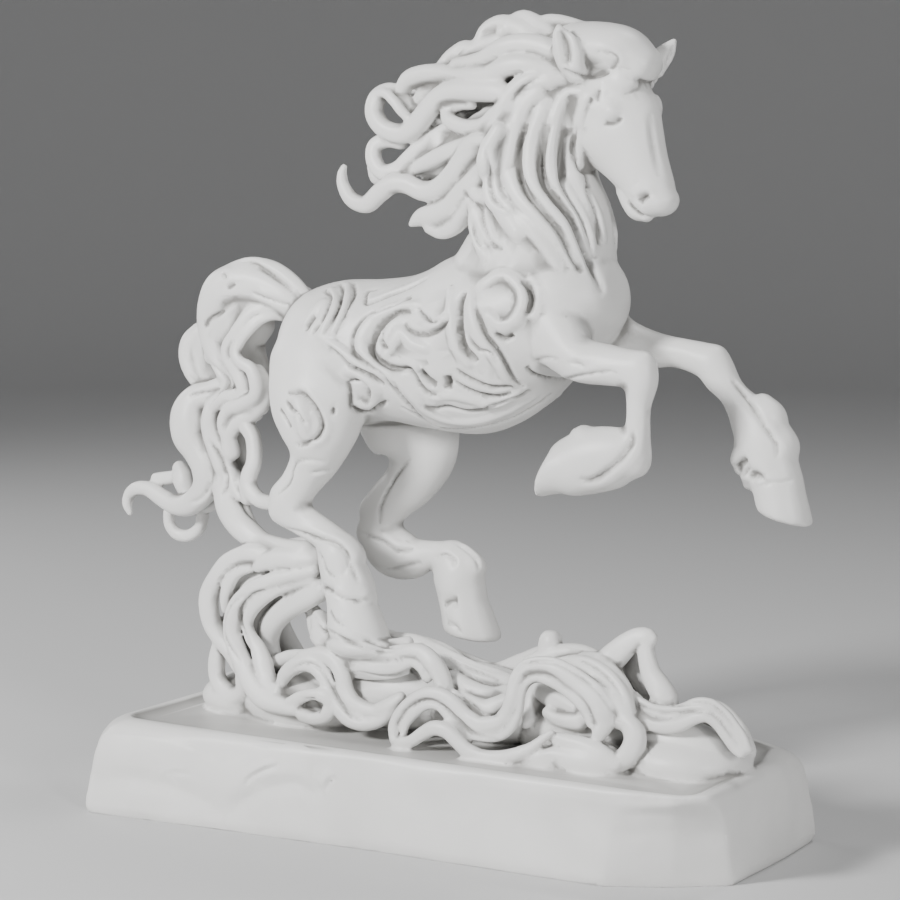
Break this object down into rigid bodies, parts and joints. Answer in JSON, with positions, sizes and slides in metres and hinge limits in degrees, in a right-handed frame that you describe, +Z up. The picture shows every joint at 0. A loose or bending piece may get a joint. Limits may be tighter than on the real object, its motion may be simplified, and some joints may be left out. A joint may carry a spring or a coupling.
{
  "type": "horse statue",
  "caption": "Tabletop statue of a prancing horse with flying mane and tail, hind legs on curling waves, cast in one with a rough block.",
  "frame": {"origin": "centre of the block's flat underside, where the statue stands", "axes": "+Z up, +X the way the horse faces along the block, +Y from the horse's right side to its left side"},
  "size_m": [0.4827, 0.1849, 0.5076],
  "materials": {
    "cast_stone": "satin off-white cast marble"
  },
  "bodies": {
    "root": {"horse_statue": "cast_stone"}
  },
  "joints": []
}
